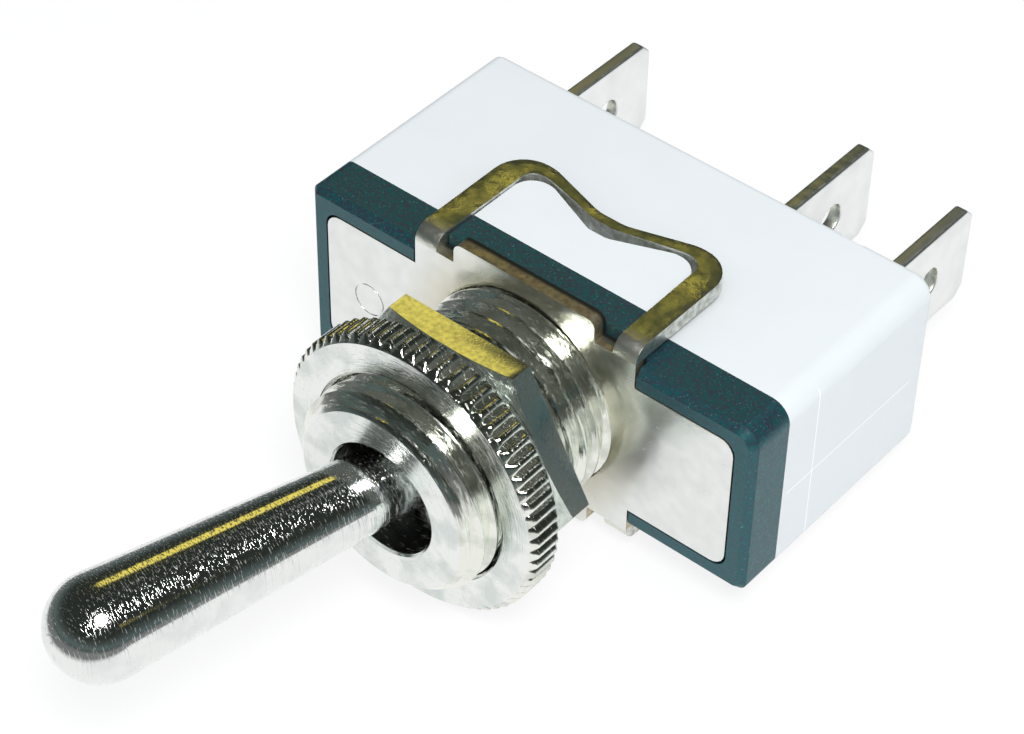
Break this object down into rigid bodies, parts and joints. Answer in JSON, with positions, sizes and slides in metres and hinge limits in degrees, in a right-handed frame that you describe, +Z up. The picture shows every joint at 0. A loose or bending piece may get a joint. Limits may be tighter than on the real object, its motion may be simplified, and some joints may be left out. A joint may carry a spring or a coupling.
{
  "type": "panel toggle switch",
  "caption": "Bat-lever toggle switch with a threaded bushing, knurled and hexagon nuts, a strap bracket round its plastic housing, and tab terminals.",
  "frame": {"origin": "on the bushing's axis, at the front face of the mounting plate", "axes": "-Y along the bushing towards the lever, +Y towards the tabs, X along the housing with the middle tab on the +X side, +Z up across its thickness"},
  "size_m": [0.0296, 0.0542, 0.0166],
  "materials": {
    "white_plastic": "satin moulded",
    "black_plastic": "fine matte grain",
    "insulating_plastic": "moulded, natural",
    "polished_nickel": "bright nickel plate",
    "plated_steel": "satin nickel plate",
    "plated_brass": "tin plate over brass",
    "bare_brass": "stamped, bare",
    "contact_silver": "silver contact face"
  },
  "bodies": {
    "housing": {"case": "white_plastic", "cover": "black_plastic", "mounting_bracket": "plated_steel", "bushing": "polished_nickel", "pivot_pin": "plated_steel", "terminal_left": "plated_brass", "terminal_common": "plated_brass", "terminal_right": "plated_brass", "fixed_contact_left": "contact_silver", "fixed_contact_right": "contact_silver", "rocker_cradle": "bare_brass", "cradle_rivet": "bare_brass"},
    "lever": {"bat_lever": "polished_nickel", "plunger_spring": "plated_steel"},
    "plunger": {"plunger": "insulating_plastic"},
    "rocker": {"rocker": "bare_brass", "moving_contact_left": "contact_silver", "moving_contact_right": "contact_silver"},
    "hex_nut": {"hex_nut": "plated_steel"},
    "knurled_nut": {"knurled_nut": "polished_nickel"}
  },
  "joints": [
    {"name": "lever_pivot", "type": "hinge", "parent": "housing", "child": "lever", "pos_m": [0, -0.00695, 0], "axis": [0, 0, 1], "range_deg": [0, 26.6]},
    {"name": "rocker_tilt", "type": "hinge", "parent": "housing", "child": "rocker", "pos_m": [0, 0.01033, 0], "axis": [0, 0, 1], "range_deg": [-14, 0]},
    {"name": "plunger_slide", "type": "slide", "parent": "lever", "child": "plunger", "axis": [-0.23, -0.9732, 0], "range_m": [0, 0.0012], "stiffness_N_per_m": 1500, "springref_m": -0.002, "deforming": ["plunger_spring"]},
    {"name": "hex_nut_travel", "type": "slide", "parent": "housing", "child": "hex_nut", "axis": [0, 1, 0], "range_m": [0, 0.0042]},
    {"name": "knurled_nut_travel", "type": "slide", "parent": "housing", "child": "knurled_nut", "axis": [0, -1, 0], "range_m": [0, 0.002]}
  ],
  "couplings": [
    {"joint": "rocker_tilt", "follows": "lever_pivot", "ratio": -0.52632}
  ]
}
